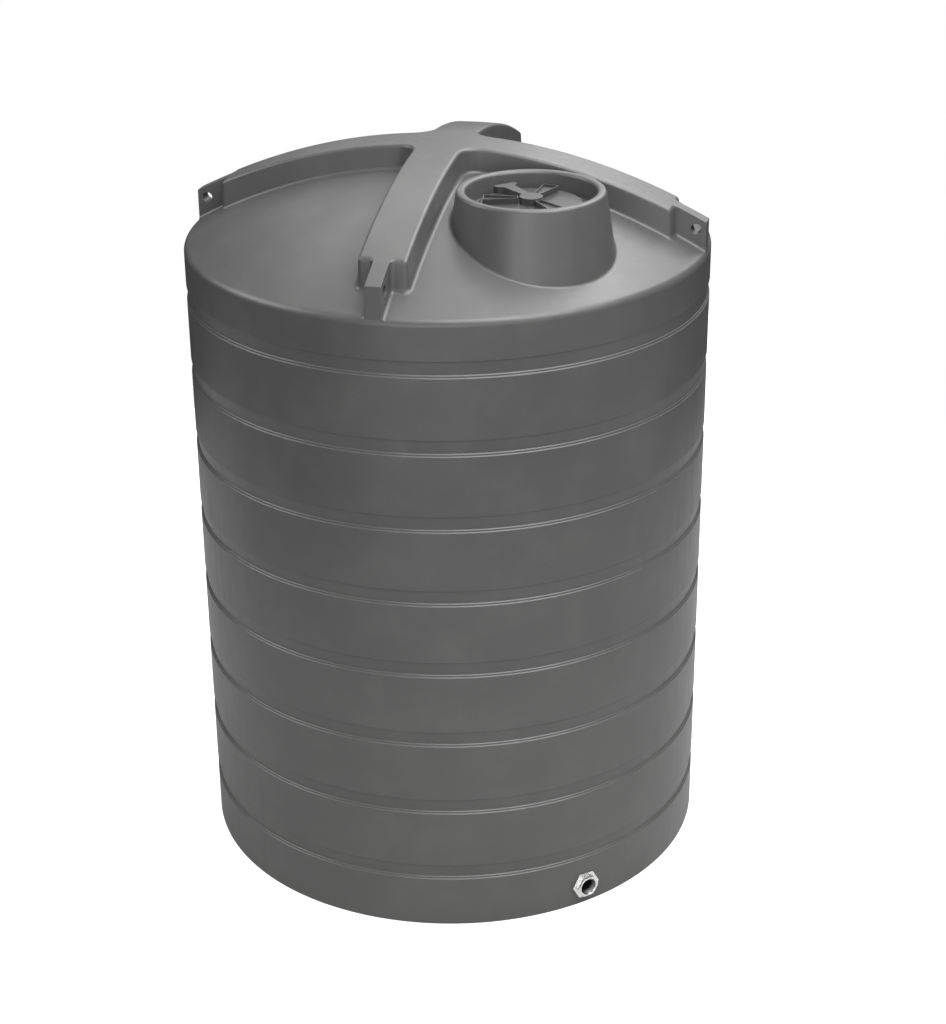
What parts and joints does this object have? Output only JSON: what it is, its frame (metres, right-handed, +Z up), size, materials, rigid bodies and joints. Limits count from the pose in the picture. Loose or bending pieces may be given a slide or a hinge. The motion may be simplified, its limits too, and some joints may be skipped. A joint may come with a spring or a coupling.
{
  "type": "vertical storage tank",
  "caption": "Upright moulded plastic storage tank with ring grooves, a domed ribbed roof with lifting lugs, an offset screw-lid manway and a steel outlet at its foot",
  "frame": {"origin": "middle of the flat base, on the ground, on the tank's own upright axis", "axes": "+Z up, the manway and the outlet on the front at -Y, +X to the right seen from the front, ribs on the four diagonals"},
  "size_m": [2.3968, 2.4327, 3.4098],
  "materials": {
    "shell": "grey moulded polyethylene, satin",
    "lid": "grey moulded plastic, satin",
    "seal": "black rubber",
    "fitting": "turned stainless steel, bright"
  },
  "bodies": {
    "tank": {"wall_segment_01": "shell", "wall_segment_02": "shell", "wall_segment_03": "shell", "wall_segment_04": "shell", "wall_segment_05": "shell", "wall_segment_06": "shell", "wall_segment_07": "shell", "wall_segment_08": "shell", "wall_segment_09": "shell", "wall_segment_10": "shell", "wall_segment_11": "shell", "wall_segment_12": "shell", "outlet_panel_left": "shell", "outlet_panel_right": "shell", "tank_floor": "shell", "roof_panel_front": "shell", "roof_panel_right": "shell", "roof_panel_back": "shell", "roof_panel_left": "shell", "rib_crown": "shell", "rib_arm_front_right": "shell", "rib_arm_back_right": "shell", "rib_arm_back_left": "shell", "rib_arm_front_left": "shell", "lifting_lug_front_right": "shell", "lifting_lug_back_right": "shell", "lifting_lug_back_left": "shell", "lifting_lug_front_left": "shell", "manway_neck": "shell", "manway_seat": "shell", "outlet_seal": "seal", "outlet_flange": "fitting", "outlet_socket": "fitting", "outlet_back_nut": "fitting"},
    "lid": {"lid_plate": "lid", "lid_hub": "lid", "lid_grip_main": "lid", "lid_grip_right": "lid", "lid_grip_left": "lid", "lid_grip_front": "lid"}
  },
  "joints": [
    {"name": "lid_lift", "type": "slide", "parent": "tank", "child": "lid", "axis": [0, 0, 1], "range_m": [0, 0.35]}
  ]
}
